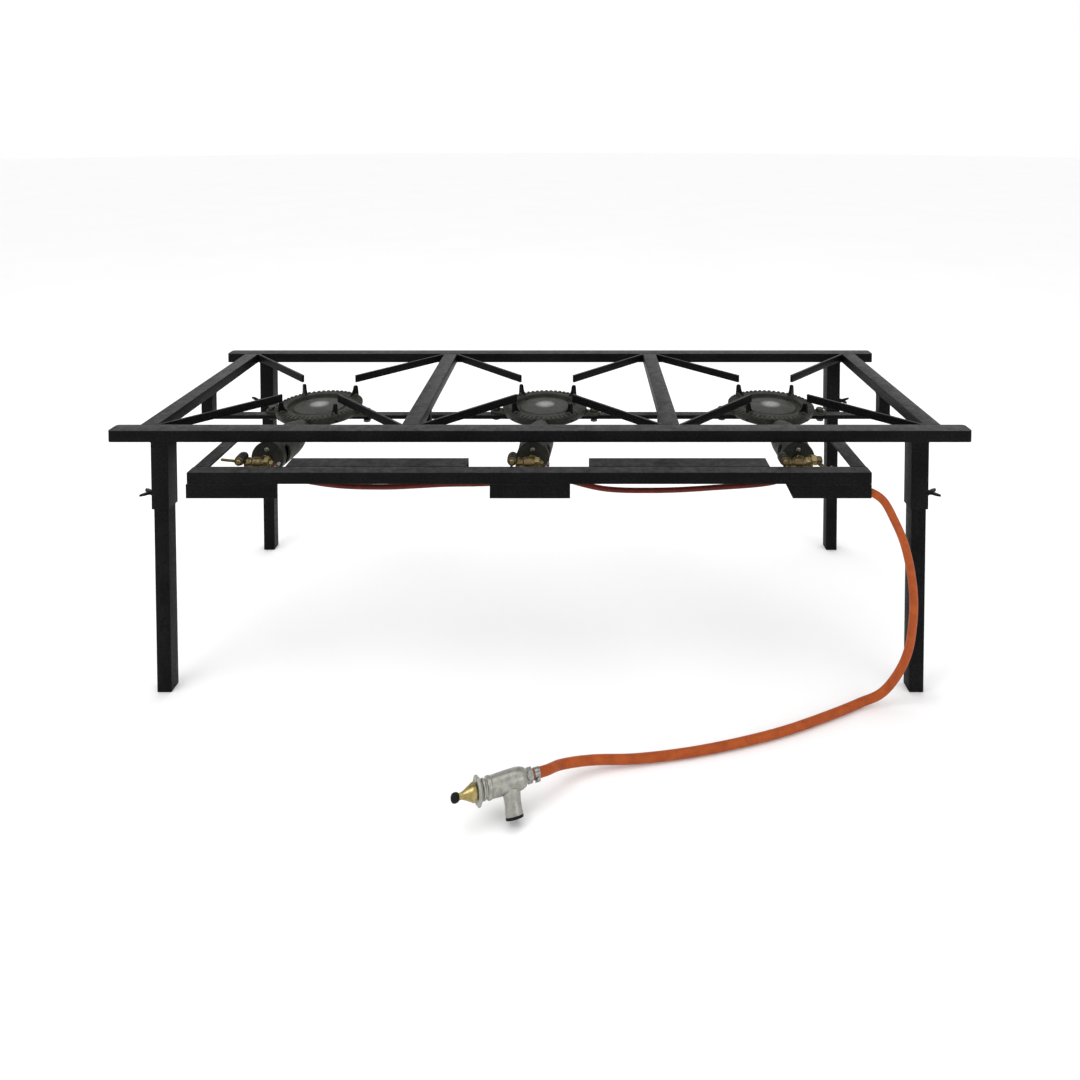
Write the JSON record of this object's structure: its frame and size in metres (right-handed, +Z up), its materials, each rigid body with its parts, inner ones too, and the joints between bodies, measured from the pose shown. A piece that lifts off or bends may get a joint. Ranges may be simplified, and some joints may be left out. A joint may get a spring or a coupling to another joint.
{
  "type": "gas boiling table",
  "caption": "Low rectangular steel boiling table: cast-iron gas burners under diagonal pot arms, brass cocks, clamped telescopic legs, and an LPG hose with its cylinder regulator.",
  "frame": {"origin": "on the floor under the middle of the table's outline, hose and regulator left out", "axes": "+Z up, +X along the long rails to the gas inlet's end, -Y towards the cook and the cocks"},
  "size_m": [1.5, 0.7796, 0.465],
  "materials": {
    "frame_paint": "satin black paint, slightly mottled",
    "cast_iron": "raw dark olive-grey casting, lighter machined centre",
    "cock_brass": "dull antique brass",
    "lever_steel": "dark plated pressed steel",
    "screw_steel": "blackened wing screws",
    "link_hose_rubber": "dark red gas hose, matte",
    "supply_hose_rubber": "orange gas hose, satin",
    "regulator_zinc": "bright die-cast metal",
    "regulator_brass": "turned brass with a black rubber nose seal"
  },
  "bodies": {
    "table_frame": {"front_rail": "frame_paint", "rear_rail": "frame_paint", "cross_rail_left": "frame_paint", "cross_rail_mid_left": "frame_paint", "cross_rail_mid_right": "frame_paint", "cross_rail_right": "frame_paint", "pot_arm_left_front_left": "frame_paint", "pot_arm_left_front_right": "frame_paint", "pot_arm_left_rear_left": "frame_paint", "pot_arm_left_rear_right": "frame_paint", "pot_arm_mid_front_left": "frame_paint", "pot_arm_mid_front_right": "frame_paint", "pot_arm_mid_rear_left": "frame_paint", "pot_arm_mid_rear_right": "frame_paint", "pot_arm_right_front_left": "frame_paint", "pot_arm_right_front_right": "frame_paint", "pot_arm_right_rear_left": "frame_paint", "pot_arm_right_rear_right": "frame_paint", "leg_socket_front_left": "frame_paint", "leg_socket_front_right": "frame_paint", "leg_socket_rear_left": "frame_paint", "leg_socket_rear_right": "frame_paint", "burner_bar": "frame_paint", "bar_hanger_left": "frame_paint", "bar_hanger_right": "frame_paint", "control_rail": "frame_paint", "control_side_bar_left": "frame_paint", "control_side_bar_right": "frame_paint", "control_back_bar": "frame_paint", "control_hanger_left": "frame_paint", "control_hanger_right": "frame_paint", "cock_guard_left": "frame_paint", "cock_guard_mid": "frame_paint", "cock_guard_right": "frame_paint", "heat_shield_left": "frame_paint", "heat_shield_right": "frame_paint", "burner_left": "cast_iron", "burner_mid": "cast_iron", "burner_right": "cast_iron", "gas_cock_left": "cock_brass", "gas_cock_mid": "cock_brass", "gas_cock_right": "cock_brass", "link_hose_left": "link_hose_rubber", "link_hose_right": "link_hose_rubber", "supply_hose": "supply_hose_rubber", "regulator_body": "regulator_zinc"},
    "leg_front_left": {"leg_front_left": "frame_paint"},
    "leg_front_right": {"leg_front_right": "frame_paint"},
    "leg_rear_left": {"leg_rear_left": "frame_paint"},
    "leg_rear_right": {"leg_rear_right": "frame_paint"},
    "wing_screw_front_left": {"wing_screw_front_left": "screw_steel"},
    "wing_screw_front_right": {"wing_screw_front_right": "screw_steel"},
    "wing_screw_rear_left": {"wing_screw_rear_left": "screw_steel"},
    "wing_screw_rear_right": {"wing_screw_rear_right": "screw_steel"},
    "cock_lever_left": {"cock_lever_left": "lever_steel"},
    "cock_lever_mid": {"cock_lever_mid": "lever_steel"},
    "cock_lever_right": {"cock_lever_right": "lever_steel"},
    "regulator_handwheel": {"regulator_handwheel": "regulator_zinc", "regulator_spigot": "regulator_brass"}
  },
  "joints": [
    {"name": "leg_front_left_slide", "type": "slide", "parent": "table_frame", "child": "leg_front_left", "axis": [0, 0, -1], "range_m": [0, 0.08]},
    {"name": "leg_front_right_slide", "type": "slide", "parent": "table_frame", "child": "leg_front_right", "axis": [0, 0, -1], "range_m": [0, 0.08]},
    {"name": "leg_rear_left_slide", "type": "slide", "parent": "table_frame", "child": "leg_rear_left", "axis": [0, 0, -1], "range_m": [0, 0.08]},
    {"name": "leg_rear_right_slide", "type": "slide", "parent": "table_frame", "child": "leg_rear_right", "axis": [0, 0, -1], "range_m": [0, 0.08]},
    {"name": "wing_screw_front_left_turn", "type": "hinge", "parent": "table_frame", "child": "wing_screw_front_left", "pos_m": [-0.6845, -0.212, 0.35], "axis": [-1, 0, 0], "range_deg": [0, 720]},
    {"name": "wing_screw_front_right_turn", "type": "hinge", "parent": "table_frame", "child": "wing_screw_front_right", "pos_m": [0.6845, -0.212, 0.35], "axis": [1, 0, 0], "range_deg": [0, 720]},
    {"name": "wing_screw_rear_left_turn", "type": "hinge", "parent": "table_frame", "child": "wing_screw_rear_left", "pos_m": [-0.6845, 0.258, 0.35], "axis": [-1, 0, 0], "range_deg": [0, 720]},
    {"name": "wing_screw_rear_right_turn", "type": "hinge", "parent": "table_frame", "child": "wing_screw_rear_right", "pos_m": [0.6845, 0.258, 0.35], "axis": [1, 0, 0], "range_deg": [0, 720]},
    {"name": "cock_lever_left_turn", "type": "hinge", "parent": "table_frame", "child": "cock_lever_left", "pos_m": [-0.51489, -0.2436, 0.4185], "axis": [0, -1, 0], "range_deg": [0, 90]},
    {"name": "cock_lever_mid_turn", "type": "hinge", "parent": "table_frame", "child": "cock_lever_mid", "pos_m": [-0.04693, -0.2436, 0.4185], "axis": [0, -1, 0], "range_deg": [0, 90]},
    {"name": "cock_lever_right_turn", "type": "hinge", "parent": "table_frame", "child": "cock_lever_right", "pos_m": [0.42103, -0.2436, 0.4185], "axis": [0, -1, 0], "range_deg": [0, 90]},
    {"name": "regulator_handwheel_turn", "type": "hinge", "parent": "table_frame", "child": "regulator_handwheel", "pos_m": [-0.0762, -0.4864, 0.0466], "axis": [0.9125, 0.4063, -0.0488], "continuous": true}
  ]
}
